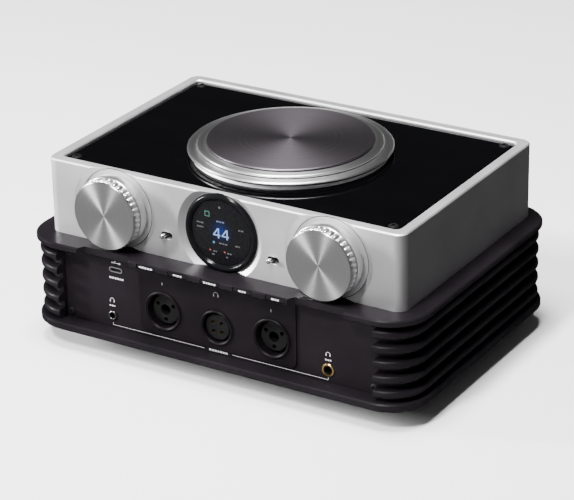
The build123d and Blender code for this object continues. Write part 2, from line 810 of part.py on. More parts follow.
def xlr_contacts():
    """Sleeves at the bottom of the four pin holes."""
    face = SOCKET_PLATE_FACE_Y + XLR_RECESS
    return joined(
        rod_y(XLR_PIN_HOLE - 0.05, face + 1.0, face + 10.9, x, z) - rod_y(0.9, face, face + 9.0, x, z)
        for x, z in XLR_PIN_PLACES
    )


def small_jack():
    """3.5 mm headphone jack with a slim ring nut."""
    body = rod_y(SMALL_JACK_BARREL - 0.05, PANEL_FACE_Y - 0.2, PANEL_BACK_Y, -JACK_X, JACK_Z)
    body += block(-JACK_X - 4, -JACK_X + 4, PANEL_BACK_Y, PANEL_BACK_Y + 12, JACK_Z - 4, JACK_Z + 4)
    return body - rod_y(SMALL_JACK_BORE, PANEL_FACE_Y - 1, PANEL_BACK_Y + 11, -JACK_X, JACK_Z)


def mid_jack_ring():
    """Gilt ring round the 4.4 mm headphone jack."""
    ring = rod_y(MID_JACK_BARREL - 0.05, PANEL_FACE_Y - 0.5, PANEL_FACE_Y + 2.0, JACK_X, JACK_Z)
    ring = chamfer(ring.faces().sort_by(Axis.Y)[0].edges(), 0.3)
    return ring - rod_y(2.9, PANEL_FACE_Y - 1, PANEL_FACE_Y + 3.0, JACK_X, JACK_Z)


def mid_jack():
    """Body of the 4.4 mm headphone jack behind its ring."""
    body = rod_y(2.85, PANEL_FACE_Y - 0.1, PANEL_FACE_Y + 2.0, JACK_X, JACK_Z)
    body += rod_y(MID_JACK_BARREL - 0.05, PANEL_FACE_Y + 2.0, PANEL_BACK_Y, JACK_X, JACK_Z)
    body += block(JACK_X - 5, JACK_X + 5, PANEL_BACK_Y, PANEL_BACK_Y + 18, JACK_Z - 5, JACK_Z + 5)
    return body - rod_y(MID_JACK_BORE, PANEL_FACE_Y - 1, PANEL_BACK_Y + 16, JACK_X, JACK_Z)


def port_shell(x, z, face, outward):
    """Flat data port's rounded shell; outward is -1 at the front and 1 at the rear."""
    mouth = face + 0.4 * outward
    back = face - (PORT_DEPTH + 1) * outward
    width = PORT_WIDTH - 0.1
    height = PORT_HEIGHT - 0.1
    shell = slot_y(width, height, min(mouth, back), max(mouth, back), x, z)
    beyond = face + 1.0 * outward
    floor = face - PORT_DEPTH * outward
    bore_width = width - 2 * PORT_WALL
    bore_height = height - 2 * PORT_WALL
    return shell - slot_y(bore_width, bore_height, min(beyond, floor), max(beyond, floor), x, z)


def port_tongue(x, z, face, outward):
    tip = face - 0.9 * outward
    floor = face - PORT_DEPTH * outward
    return block(
        x - PORT_TONGUE_HALF_WIDTH,
        x + PORT_TONGUE_HALF_WIDTH,
        min(tip, floor),
        max(tip, floor),
        z - PORT_TONGUE_HALF_HEIGHT,
        z + PORT_TONGUE_HALF_HEIGHT,
    )


def panel_screws():
    """Button-head screws at the front panel's corners."""
    screws = []
    for x, z in PANEL_SCREW_PLACES:
        screw = turned_y(
            [
                (0, PANEL_BACK_Y),
                (PANEL_SCREW_RADIUS, PANEL_BACK_Y),
                (PANEL_SCREW_RADIUS, PANEL_FACE_Y),
                (PANEL_SCREW_HEAD_RADIUS, PANEL_FACE_Y),
                (PANEL_SCREW_HEAD_RADIUS, PANEL_FACE_Y - 0.5),
                (PANEL_SCREW_HEAD_RADIUS - 0.7, PANEL_FACE_Y - 1.1),
                (0, PANEL_FACE_Y - 1.2),
            ],
            x,
            z,
        )
        hexagon = Rot(90, 0, 0) * RegularPolygon(PANEL_SCREW_SOCKET, 6)
        screws.append(screw - extrude(Pos(x, PANEL_FACE_Y - 0.4, z) * hexagon, 2))
    return joined(screws)


# ---------------------------------------------------------------- rear panel and its sockets
REAR_PANEL_FRONT_Y = REAR_PANEL_FACE_Y - 3.0
PHONO_PLACES = [(sx * x, z) for sx in (-1, 1) for x in (12.0, 27.0) for z in (31.0, 50.0)]
REAR_XLR_PLACES = [(-58.0, 40.0), (58.0, 40.0)]
REAR_XLR_BARREL = 10.5
REAR_XLR_BORE = 9.4
REAR_XLR_FLANGE = 12.0
REAR_XLR_INSERT = 8.0
REAR_XLR_DEPTH = 16.0
PHONO_BARREL = 4.1
PHONO_BORE = 3.3
PHONO_PIN_HOLE = 1.65
PHONO_NUT_RADIUS = 6.2
PHONO_NUT_THICKNESS = 2.2
PHONO_DEPTH = 8.0
POWER_X = 88.0
POWER_Z = 31.0
POWER_BARREL = 5.5
POWER_BORE = 3.1
POWER_DEPTH = 14.0
POWER_BORE_DEPTH = 11.0
REAR_PORT_X = -86.0
REAR_PORT_Z = 31.0
PORTS = [(PORT_X, PORT_Z, PANEL_FACE_Y, -1), (REAR_PORT_X, REAR_PORT_Z, REAR_PANEL_FACE_Y, 1)]
REAR_SCREW_PLACES = [(sx * 99.5, z) for sx in (-1, 1) for z in PANEL_SCREW_Z]


def rear_panel():
    panel = block(
        -PANEL_HALF_WIDTH,
        PANEL_HALF_WIDTH,
        REAR_PANEL_FRONT_Y,
        REAR_PANEL_FACE_Y,
        BOTTOM_PLATE_TOP,
        TOP_PLATE_UNDER,
    )
    y0 = REAR_PANEL_FRONT_Y - 1
    y1 = REAR_PANEL_FACE_Y + 1
    for x, z in REAR_XLR_PLACES:
        panel -= rod_y(REAR_XLR_BARREL + BARREL_CLEARANCE, y0, y1, x, z)
    for x, z in PHONO_PLACES:
        panel -= rod_y(PHONO_BARREL + BARREL_CLEARANCE, y0, y1, x, z)
    panel -= rod_y(POWER_BARREL + BARREL_CLEARANCE, y0, y1, POWER_X, POWER_Z)
    panel -= slot_y(PORT_WIDTH, PORT_HEIGHT, y0, y1, REAR_PORT_X, REAR_PORT_Z)
    for x, z in REAR_SCREW_PLACES:
        panel -= rod_y(PANEL_SCREW_RADIUS, y0, y1, x, z)
    return panel


def rear_xlr_shells():
    """Shells of the two balanced input sockets."""
    face = REAR_PANEL_FACE_Y
    shells = []
    for x, z in REAR_XLR_PLACES:
        shell = turned_y(
            [
                (REAR_XLR_BORE, face - REAR_XLR_DEPTH),
                (REAR_XLR_BARREL, face - REAR_XLR_DEPTH),
                (REAR_XLR_BARREL, face),
                (REAR_XLR_FLANGE, face),
                (REAR_XLR_FLANGE, face + 1.0),
                (REAR_XLR_FLANGE - 0.6, face + 1.6),
                (REAR_XLR_BORE + 0.8, face + 1.6),
                (REAR_XLR_BORE, face + 0.8),
            ],
            x,
            z,
        )
        back = face - REAR_XLR_DEPTH
        shells.append(shell + rod_y(REAR_XLR_BORE + 0.1, back, back + SOCKET_FLOOR, x, z))
    return joined(shells)


def rear_xlr_inserts():
    face = REAR_PANEL_FACE_Y
    cores = []
    for x, z in REAR_XLR_PLACES:
        core = rod_y(REAR_XLR_INSERT, face - REAR_XLR_DEPTH + SOCKET_FLOOR, face - 0.5, x, z)
        core = chamfer(core.faces().sort_by(Axis.Y)[-1].edges(), 0.5)
        for pin_x, pin_z in ring_places(3, 4.0, x, z, 90):
            core -= rod_y(XLR_PIN_HOLE, face - 10, face, pin_x, pin_z)
        cores.append(core)
    return joined(cores)


def phono_shells():
    """Gilt barrels with their hexagon nuts, reaching out as far as the chassis goes."""
    face = REAR_PANEL_FACE_Y
    shells = []
    for x, z in PHONO_PLACES:
        hexagon = Rot(90, 0, 0) * RegularPolygon(PHONO_NUT_RADIUS, 6)
        nut = extrude(Pos(x, face + PHONO_NUT_THICKNESS, z) * hexagon, PHONO_NUT_THICKNESS)
        barrel = rod_y(PHONO_BARREL, face - PHONO_DEPTH, REAR_LIMIT, x, z)
        barrel = chamfer(barrel.faces().sort_by(Axis.Y)[-1].edges(), 0.4)
        shells.append(nut + barrel - rod_y(PHONO_BORE, face - PHONO_DEPTH - 1, REAR_LIMIT + 1, x, z))
    return joined(shells)


def phono_cores():
    """Insulated cores, bored for the plug's centre pin."""
    face = REAR_PANEL_FACE_Y
    return joined(
        rod_y(PHONO_BORE - 0.05, face - PHONO_DEPTH, REAR_LIMIT - 0.8, x, z)
        - rod_y(PHONO_PIN_HOLE, face, REAR_LIMIT, x, z)
        for x, z in PHONO_PLACES
    )


def power_inlet():
    """Low-voltage barrel inlet."""
    face = REAR_PANEL_FACE_Y
    body = rod_y(POWER_BARREL, face - POWER_DEPTH, face, POWER_X, POWER_Z)
    body += rod_y(POWER_BARREL + 1.2, face, face + 1.4, POWER_X, POWER_Z)
    return body - rod_y(POWER_BORE, face - POWER_BORE_DEPTH, face + 2, POWER_X, POWER_Z)


def power_inlet_pin():
    face = REAR_PANEL_FACE_Y
    pin = rod_y(1.0, face - POWER_BORE_DEPTH, face - 0.6, POWER_X, POWER_Z)
    return fillet(pin.faces().sort_by(Axis.Y)[-1].edges(), 0.6)


def rear_screws():
    face = REAR_PANEL_FACE_Y
    return joined(
        rod_y(PANEL_SCREW_RADIUS, REAR_PANEL_FRONT_Y, face, x, z)
        + rod_y(PANEL_SCREW_HEAD_RADIUS, face, face + 1.0, x, z)
        for x, z in REAR_SCREW_PLACES
    )


# ---------------------------------------------------------------- inside
BOARD_Z = 23.2
BOARD_THICKNESS = 1.6
BOARD_HALF_WIDTH = 92.0
BOARD_SCREW_RADIUS = 1.6
MAIN_BOARD_Y = (-56.0, 62.0)
UPPER_BOARD_Y = (-38.0, 64.0)
STANDOFF_RADIUS = 3.0
CAPACITOR_RADIUS = 6.5
CAPACITOR_HEIGHT = 22.0
MODULE_X = (20.0, 76.0)
MODULE_Y = (-30.0, 22.0)
MODULE_HEIGHT = 20.0
BOARD_SCREW_PLACES = [(sx * 84.0, y) for sx in (-1, 1) for y in (-50.0, 48.0)]
CAPACITOR_PLACES = [(x, y) for x in (-52.0, -36.0, -20.0) for y in (-16.0, 0.0)]
UPPER_BOARD_Z = 72.5
UPPER_SCREW_PLACES = [(sx * 84.0, y) for sx in (-1, 1) for y in (-30.0, 58.0)]


def board(depth_range, z, screw_places):
    """Circuit board with its screw holes."""
    plate = block(-BOARD_HALF_WIDTH, BOARD_HALF_WIDTH, *depth_range, z, z + BOARD_THICKNESS)
    for x, y in screw_places:
        plate -= rod_z(BOARD_SCREW_RADIUS, z - 1, z + BOARD_THICKNESS + 1, x, y)
    return plate


def capacitor_bank():
    base = BOARD_Z + BOARD_THICKNESS
    return joined(rod_z(CAPACITOR_RADIUS, base, base + CAPACITOR_HEIGHT, x, y) for x, y in CAPACITOR_PLACES)


def power_module():
    """Screened converter on the main board."""
    base = BOARD_Z + BOARD_THICKNESS
    can = block(*MODULE_X, *MODULE_Y, base, base + MODULE_HEIGHT)
    return fillet(can.edges().filter_by(Axis.Z), 2)


def board_standoffs():
    """Spacers under the corners of both boards."""
    lower = [rod_z(STANDOFF_RADIUS, BOTTOM_PLATE_TOP, BOARD_Z, x, y) for x, y in BOARD_SCREW_PLACES]
    upper = [rod_z(STANDOFF_RADIUS, TOP_PLATE_TOP, UPPER_BOARD_Z, x, y) for x, y in UPPER_SCREW_PLACES]
    return joined(lower + upper)


# ---------------------------------------------------------------- build every node
def main():
    band = rib_band()
    nodes = {
        "chassis_bottom_plate": chassis_bottom_plate(),
        "chassis_top_plate": chassis_top_plate(),
        "left_heatsink": heatsink(band, -1),
        "right_heatsink": heatsink(band, 1),
        "feet": feet(),
        "foot_screws": foot_screws(),
        "upper_casing": upper_casing(),
        "top_glass": top_glass(),
        "lid_screws": lid_screws(),
        "disc_base_ring": disc_base_ring(),
        "disc_gap_plate": disc_gap_plate(),
        "disc_outer_ring": disc_outer_ring(),
        "disc_middle_ring": disc_middle_ring(),
        "disc_top_plate": disc_top_plate(),
        "display_bezel": display_bezel(),
        "display_lens": display_lens(),
        "display_module": display_module(),
        "front_panel": front_panel(),
        "socket_plate": socket_plate(),
        "panel_screws": panel_screws(),
        "xlr_shell": xlr_shell(),
        "xlr_insert": xlr_insert(),
        "xlr_contacts": xlr_contacts(),
        "small_jack": small_jack(),
        "mid_jack_ring": mid_jack_ring(),
        "mid_jack": mid_jack(),
        "port_shells": joined(port_shell(*port) for port in PORTS),
        "port_tongues": joined(port_tongue(*port) for port in PORTS),
        "rear_panel": rear_panel(),
        "rear_xlr_shells": rear_xlr_shells(),
        "rear_xlr_inserts": rear_xlr_inserts(),
        "phono_shells": phono_shells(),
        "phono_cores": phono_cores(),
        "power_inlet": power_inlet(),
        "power_inlet_pin": power_inlet_pin(),
        "rear_screws": rear_screws(),
        "main_board": board(MAIN_BOARD_Y, BOARD_Z, BOARD_SCREW_PLACES),
        "board_standoffs": board_standoffs(),
        "capacitor_bank": capacitor_bank(),
        "power_module": power_module(),
        "upper_board": board(UPPER_BOARD_Y, UPPER_BOARD_Z, UPPER_SCREW_PLACES),
        "key_switches": key_switches(),
    }
    for index in range(KEY_COUNT):
        nodes["key_" + str(index + 1)] = key(index)
    for name, side in (("left", -1), ("right", 1)):
        nodes[name + "_knob_body"] = knob_body(side * KNOB_X)
        nodes[name + "_knob_face"] = knob_face(side * KNOB_X)
        nodes[name + "_toggle_lever"] = toggle_lever(side * TOGGLE_X)
    nodes["knob_controls"] = joined(knob_control(side * KNOB_X) for side in (-1, 1))
    nodes["left_knob_shaft"] = knob_shaft(-KNOB_X)
    nodes["right_knob_shaft"] = knob_shaft(KNOB_X)
    nodes["toggle_switches"] = joined(toggle_switch(side * TOGGLE_X) for side in (-1, 1))
    nodes["combo_shells"] = joined(combo_shell(side * COMBO_X) for side in (-1, 1))
    nodes["combo_inserts"] = joined(combo_insert(side * COMBO_X) for side in (-1, 1))
    nodes["combo_latches"] = joined(combo_latch(side * COMBO_X) for side in (-1, 1))
    for name, shape in nodes.items():
        save(name, shape)
    print(len(nodes), "nodes")


main()
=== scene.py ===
import math

import bmesh
import bpy
from mathutils import Matrix, Vector


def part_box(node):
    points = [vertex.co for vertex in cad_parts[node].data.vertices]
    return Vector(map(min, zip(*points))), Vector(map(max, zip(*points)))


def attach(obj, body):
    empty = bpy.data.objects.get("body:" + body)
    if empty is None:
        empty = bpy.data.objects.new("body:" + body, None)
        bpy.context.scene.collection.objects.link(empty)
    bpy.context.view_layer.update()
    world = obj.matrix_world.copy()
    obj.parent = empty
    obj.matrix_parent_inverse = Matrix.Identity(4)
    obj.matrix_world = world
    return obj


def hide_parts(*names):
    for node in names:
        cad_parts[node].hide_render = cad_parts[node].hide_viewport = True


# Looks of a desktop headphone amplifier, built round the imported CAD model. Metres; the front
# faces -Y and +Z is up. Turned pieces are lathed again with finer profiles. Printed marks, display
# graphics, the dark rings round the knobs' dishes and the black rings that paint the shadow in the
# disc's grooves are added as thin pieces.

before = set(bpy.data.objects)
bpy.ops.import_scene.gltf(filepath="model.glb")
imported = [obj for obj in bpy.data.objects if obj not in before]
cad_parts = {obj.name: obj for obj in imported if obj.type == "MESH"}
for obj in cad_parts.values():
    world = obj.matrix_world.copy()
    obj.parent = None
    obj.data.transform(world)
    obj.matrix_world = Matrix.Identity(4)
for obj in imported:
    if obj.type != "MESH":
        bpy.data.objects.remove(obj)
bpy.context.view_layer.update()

MM = 0.001
SEGMENTS = 192
PROUD = 0.02 * MM  # how far a finer face lies inside its CAD face, or a thin joint stands off it
FINE_ANGLE = 25.0  # degrees; turned pieces keep edges sharper than this


# ------------------------------------------------------------------ placing from the frame
def centre_of(node):
    low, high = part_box(node)
    return (low + high) / 2


def front_of(node):
    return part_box(node)[0].y


# ------------------------------------------------------------------ material tools
TEXTURE_LOW, TEXTURE_HIGH = 0.3, 0.7  # the span that a noise texture mostly stays in


class Shader:
    """A node material with one Principled shader, built from a few plain calls."""

    def __init__(self, name):
        self.material = bpy.data.materials.new(name)
        self.material.use_nodes = True
        self.nodes = self.material.node_tree.nodes
        self.links = self.material.node_tree.links
        self.principled = self.nodes["Principled BSDF"]
        self.coordinates = self.nodes.new("ShaderNodeTexCoord")

    def link(self, source, target):
        self.links.new(source, target)

    def set(self, **values):
        for key, value in values.items():
            self.principled.inputs[key.replace("_", " ")].default_value = value

    def stretched(self, scale):
        mapping = self.nodes.new("ShaderNodeMapping")
        mapping.inputs["Scale"].default_value = scale
        self.link(self.coordinates.outputs["Object"], mapping.inputs["Vector"])
        return mapping.outputs["Vector"]

    def noise(self, scale, detail, rough, vector=None):
        noise = self.nodes.new("ShaderNodeTexNoise")
        noise.inputs["Scale"].default_value = scale
        noise.inputs["Detail"].default_value = detail
        noise.inputs["Roughness"].default_value = rough
        self.link(vector or self.coordinates.outputs["Object"], noise.inputs["Vector"])
        return noise.outputs["Fac"]

    def rings(self, axis, scale):
        """Noise that depends only on the distance from the piece's own axis."""
        split = self.nodes.new("ShaderNodeSeparateXYZ")
        self.link(self.coordinates.outputs["Generated"], split.inputs[0])
        parts = []
        for letter in "XYZ":
            if letter == axis:
                continue
            parts.append(self.math("POWER", self.math("SUBTRACT", split.outputs[letter], 0.5), 2.0))
        radius = self.math("SQRT", self.math("ADD", parts[0], parts[1]), 0.0)
        noise = self.nodes.new("ShaderNodeTexNoise")
        noise.noise_dimensions = "1D"
        noise.inputs["Scale"].default_value = scale
        noise.inputs["Detail"].default_value = 3.0
        self.link(radius, noise.inputs["W"])
        return noise.outputs["Fac"]

    def math(self, operation, first, second):
        node = self.nodes.new("ShaderNodeMath")
        node.operation = operation
        for socket, value in zip(node.inputs, (first, second)):
            if isinstance(value, (int, float)):
                socket.default_value = value
            else:
                self.link(value, socket)
        return node.outputs[0]

    def spread(self, source, low, high, from_low=TEXTURE_LOW, from_high=TEXTURE_HIGH):
        """Maps a texture value to a range."""
        node = self.nodes.new("ShaderNodeMapRange")
        node.inputs["From Min"].default_value = from_low
        node.inputs["From Max"].default_value = from_high
        node.inputs["To Min"].default_value = low
        node.inputs["To Max"].default_value = high
        self.link(source, node.inputs["Value"])
        return node.outputs["Result"]

    def tint(self, source, dark, light):
        """Blends two colours by a texture value."""
        ramp = self.nodes.new("ShaderNodeValToRGB")
        ramp.color_ramp.elements[0].position = TEXTURE_LOW
        ramp.color_ramp.elements[1].position = TEXTURE_HIGH
        ramp.color_ramp.elements[0].color = (*dark, 1)
        ramp.color_ramp.elements[1].color = (*light, 1)
        self.link(source, ramp.inputs["Fac"])
        return ramp.outputs["Color"]

    def bump(self, height, distance, strength, normal=None):
        node = self.nodes.new("ShaderNodeBump")
        node.inputs["Distance"].default_value = distance
        node.inputs["Strength"].default_value = strength
        self.link(height, node.inputs["Height"])
        if normal is not None:
            self.link(normal, node.inputs["Normal"])
        return node.outputs["Normal"]

    def soft_edges(self, radius):
        node = self.nodes.new("ShaderNodeBevel")
        node.samples = 4
        node.inputs["Radius"].default_value = radius
        return node.outputs["Normal"]

    def finish(self, colour, roughness=None, normal=None):
        sockets = self.principled.inputs
        self.link(colour, sockets["Base Color"])
        if roughness is not None:
            self.link(roughness, sockets["Roughness"])
        if normal is not None:
            self.link(normal, sockets["Normal"])
        return self.material


def grey(value):
    return (value, value, value)


def satin_aluminium():
    """Bead-blasted and anodised: even fine grain, slightly cloudy sheen."""
    s = Shader("satin_aluminium")
    s.set(Metallic=1.0)
    grain = s.noise(5200.0, 2.0, 0.6)
    cloud = s.noise(28.0, 3.0, 0.55)
    colour = s.tint(s.math("ADD", s.math("MULTIPLY", grain, 0.5), s.math("MULTIPLY", cloud, 0.5)),
                    (0.80, 0.785, 0.80), (0.90, 0.885, 0.90))
    roughness = s.spread(cloud, 0.47, 0.53)
    return s.finish(colour, roughness, s.bump(grain, 0.00004, 0.5, s.soft_edges(0.0004)))


def spun_aluminium(name, axis, dark, light, rough_low, rough_high, anisotropic, ring_scale):
    """Turned metal: fine rings round the axis that stretch every highlight into a fan."""
    s = Shader(name)
    s.set(Metallic=1.0, Anisotropic=anisotropic, Anisotropic_Rotation=0.25)
    tangent = s.nodes.new("ShaderNodeTangent")
    tangent.direction_type = "RADIAL"
    tangent.axis = axis
    s.link(tangent.outputs["Tangent"], s.principled.inputs["Tangent"])
    fine = s.rings(axis, ring_scale)
    broad = s.rings(axis, ring_scale * 0.12)
    mixed = s.math("ADD", s.math("MULTIPLY", fine, 0.6), s.math("MULTIPLY", broad, 0.4))
    return s.finish(s.tint(mixed, dark, light), s.spread(fine, rough_low, rough_high),
                    s.bump(fine, 0.00001, 0.25))


def bright_metal(name, colour, rough_low, rough_high, grain_scale=3000.0):
    """Machined or plated metal with light handling marks."""
    s = Shader(name)
    s.set(Metallic=1.0)
    grain = s.noise(grain_scale, 4.0, 0.6)
    shade = tuple(c * 0.88 for c in colour)
    return s.finish(s.tint(grain, shade, colour), s.spread(grain, rough_low, rough_high),
                    s.bump(grain, 0.00001, 0.3))


def black_metal(name, dark, light, rough_low, rough_high, edge=0.0004):
    """Black anodised or powder-coated metal: a fine tooth, and edges that catch the light."""
    s = Shader(name)
    s.set(Specular_IOR_Level=0.05)
    tooth = s.noise(3600.0, 3.0, 0.6)
    cloud = s.noise(35.0, 3.0, 0.5)
    roughness = s.math("ADD", s.spread(cloud, rough_low, rough_high), s.spread(tooth, -0.02, 0.03))
    return s.finish(s.tint(cloud, dark, light), roughness, s.bump(tooth, 0.00003, 0.5, s.soft_edges(edge)))


def moulded(name, dark, light, rough_low, rough_high, grain=2400.0, depth=0.00002):
    """Moulded plastic or rubber with a fine spark-eroded grain."""
    s = Shader(name)
    s.set(Specular_IOR_Level=0.12)
    tooth = s.noise(grain, 3.0, 0.55)
    cloud = s.noise(60.0, 2.0, 0.5)
    return s.finish(s.tint(cloud, dark, light), s.spread(tooth, rough_low, rough_high),
                    s.bump(tooth, depth, 0.5))


def gloss_glass(name, colour):
    """Black-backed glass: a mirror gloss with faint wiping marks."""
    s = Shader(name)
    s.set(Specular_IOR_Level=0.09)
    wipe = s.noise(1.0, 4.0, 0.6, s.stretched((14.0, 60.0, 40.0)))
    speck = s.noise(1500.0, 1.0, 0.4)
    roughness = s.math("ADD", s.spread(wipe, 0.015, 0.05), s.spread(speck, 0.0, 0.05, 0.72, 0.8))
    return s.finish(s.tint(wipe, colour, tuple(c * 1.4 for c in colour)), roughness)


def glowing(name, colour, strength):
    """Lit display segment, slightly uneven like a fine pixel grid."""
    s = Shader(name)
    s.set(Roughness=0.3)
    grid = s.noise(2200.0, 1.0, 0.4)
    lit = s.tint(grid, tuple(c * 0.8 for c in colour), colour)
    s.link(lit, s.principled.inputs["Emission Color"])
    s.set(Emission_Strength=strength)
    return s.finish(s.tint(grid, grey(0.02), grey(0.04)))


def printed(name, light):
    """Screen-printed ink, slightly worn."""
    s = Shader(name)
    wear = s.noise(1800.0, 3.0, 0.6)
    return s.finish(s.tint(wear, grey(light * 0.75), grey(light)), s.spread(wear, 0.5, 0.7),
                    s.bump(wear, 0.00001, 0.4))


def floor_paper():
    """Matt white studio paper."""
    s = Shader("studio_floor")
    s.set(Specular_IOR_Level=0.1)
    fibre = s.noise(600.0, 3.0, 0.6)
    cloud = s.noise(3.0, 2.0, 0.5)
    return s.finish(s.tint(cloud, grey(0.90), grey(0.93)), s.spread(fibre, 0.85, 0.95))


satin = satin_aluminium()
knob_metal = spun_aluminium("spun_knob", "Y", grey(0.50), grey(0.60), 0.27, 0.33, 0.93, 260.0)
grip_metal = spun_aluminium("machined_grip", "Y", grey(0.74), grey(0.84), 0.26, 0.32, 0.35, 40.0)
disc_metal = spun_aluminium("turned_disc_face", "Z", (0.120, 0.108, 0.120), (0.160, 0.146, 0.160),
                            0.40, 0.48, 0.45, 420.0)
step_metal = spun_aluminium("turned_disc_step", "Z", grey(0.70), grey(0.82), 0.32, 0.38, 0.6, 60.0)
glass_black = gloss_glass("black_backed_glass", (0.0008, 0.0008, 0.001))
bezel_black = moulded("bezel_gloss", (0.003, 0.003, 0.0035), (0.005, 0.005, 0.006),
                      0.13, 0.19, 900.0, 0.000003)
# Black chassis metal; the same black also paints the shadow in the knobs' necks.
chassis_black_and_neck_shade = black_metal("chassis_black_and_neck_shade", (0.0060, 0.0050, 0.0062), (0.0090, 0.0075, 0.0092),
                            0.30, 0.37)
panel_black = black_metal("panel_black", (0.0062, 0.0048, 0.0062), (0.0092, 0.0074, 0.0092), 0.38, 0.46)
plate_black = black_metal("socket_plate_black", (0.0045, 0.0034, 0.0044), (0.0070, 0.0055, 0.0068),
                          0.36, 0.44)
screw_black = black_metal("screw_black", grey(0.006), grey(0.010), 0.42, 0.50, 0.0002)
# Black mouldings; the same black also paints the shadow in the disc's grooves and rings the knob dishes.
moulding_black_and_painted_shade = moulded("moulding_black_and_painted_shade", grey(0.0035), grey(0.006), 0.30, 0.42)
foot_black = moulded("foot_rubber", grey(0.012), grey(0.02), 0.7, 0.85, 1500.0, 0.00004)
port_black = moulded("port_black", grey(0.01), grey(0.02), 0.25, 0.35)
steel = bright_metal("port_steel", grey(0.75), 0.25, 0.38)
nut_metal = bright_metal("dark_nickel", grey(0.16), 0.25, 0.35)
chrome = bright_metal("toggle_chrome", grey(0.86), 0.06, 0.12, 500.0)
gilt = bright_metal("gilt_metal", (0.86, 0.56, 0.22), 0.16, 0.26)
board_green = moulded("circuit_board", (0.01, 0.05, 0.025), (0.015, 0.07, 0.035), 0.35, 0.5)
ink = printed("white_ink", 0.50)
dim_ink = printed("grey_ink", 0.14)


def paint(node, material):
    """Gives a CAD node's object its material."""
    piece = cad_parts[node]
    piece.data.materials.clear()
    piece.data.materials.append(material)


CAD_FINISHES = {
    satin: ["upper_casing"],
    glass_black: ["top_glass"],
    chassis_black_and_neck_shade: ["chassis_bottom_plate", "chassis_top_plate", "left_heatsink", "right_heatsink"],
    panel_black: ["front_panel", "rear_panel", "disc_gap_plate"],
    plate_black: ["socket_plate", "combo_shells", "xlr_shell", "rear_xlr_shells"],
    screw_black: ["lid_screws", "panel_screws", "rear_screws"],
    moulding_black_and_painted_shade: [
        "combo_inserts", "combo_latches", "xlr_insert", "small_jack", "mid_jack", "rear_xlr_inserts",
        "phono_cores", "power_inlet", "display_module", "capacitor_bank", "toggle_switches", "key_switches",
    ],
    foot_black: ["feet"],
    port_black: ["port_tongues"],
    steel: [
        "port_shells", "foot_screws", "left_knob_shaft", "right_knob_shaft", "power_inlet_pin",
        "board_standoffs", "knob_controls", "power_module",
    ],
    chrome: ["left_toggle_lever", "right_toggle_lever"],
    gilt: ["mid_jack_ring", "phono_shells", "xlr_contacts"],
    board_green: ["main_board", "upper_board"],
}
for material, names in CAD_FINISHES.items():
    for name in names:
        paint(name, material)
KEY_COUNT = 5
for number in range(1, KEY_COUNT + 1):
    paint("key_" + str(number), chassis_black_and_neck_shade)


# ------------------------------------------------------------------ mesh tools
def piece_from(bm, name, material, body, smooth_angle=30.0):
    """Turns a bmesh into a piece that rides on a body."""
    bmesh.ops.recalc_face_normals(bm, faces=bm.faces)
    mesh = bpy.data.meshes.new(name)
    bm.to_mesh(mesh)
    bm.free()
    mesh.shade_smooth()
    mesh.set_sharp_from_angle(angle=math.radians(smooth_angle))
    mesh.materials.append(material)
    piece = bpy.data.objects.new(name, mesh)
    bpy.context.scene.collection.objects.link(piece)
    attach(piece, body)
    return piece


def softened(profile, radius, steps=3):
    """Rounds each inner corner of an open (radius, along) profile with a short arc."""
    points = [Vector(profile[0])]
    for before, corner, after in zip(profile, profile[1:], profile[2:]):
        corner = Vector(corner)
        back = Vector(before) - corner
        ahead = Vector(after) - corner
        reach = min(radius, back.length * 0.45, ahead.length * 0.45)
        start = corner + back.normalized() * reach
        end = corner + ahead.normalized() * reach
        for step in range(steps + 1):
            t = step / steps
            points.append(start * (1 - t) ** 2 + corner * 2 * t * (1 - t) + end * t ** 2)
    points.append(Vector(profile[-1]))
    return points


def lathe(profile, segments=SEGMENTS, ripple=None):
    """Turns (radius, along) points about local Z; ripple(point index, angle) adds to a radius."""
    bm = bmesh.new()
    rows = []
    for index, (radius, along) in enumerate(profile):
        if radius < 1e-9:
            rows.append([bm.verts.new((0, 0, along))])
            continue
        row = []
        for step in range(segments):
            angle = 2 * math.pi * step / segments
            reach = radius + (ripple(index, angle) if ripple else 0.0)
            row.append(bm.verts.new((reach * math.cos(angle), reach * math.sin(angle), along)))
        rows.append(row)
    for lower, upper in zip(rows, rows[1:]):
        for step in range(segments):
            after = (step + 1) % segments
            corners = [lower[step % len(lower)], lower[after % len(lower)]]
            corners += [upper[after % len(upper)], upper[step % len(upper)]]
            unique = list(dict.fromkeys(corners))
            if len(unique) > 2:
                bm.faces.new(unique)
    return bm


def facing_front(bm, x, z):
    """Turns local Z to -Y (towards the front) and moves the axis to (x, z)."""
    turn = Matrix.Rotation(math.radians(90), 4, "X")
    bmesh.ops.transform(bm, matrix=Matrix.Translation((x, 0, z)) @ turn, verts=bm.verts)
    return bm


# ------------------------------------------------------------------ turned disc on the lid
def span(node):
    """Outer radius, bottom and top of a round node on the Z axis."""
    low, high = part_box(node)
    return (high.x - low.x) / 2, low.z, high.z


SHADOW_GAP = 0.6 * MM
SHADOW_DEPTH = 0.45 * MM
RING_BORE = 40 * MM
FOOT_BORE = 30 * MM
FOOT_LEAN = 0.9 * MM
EDGE_BREAK = 0.2 * MM


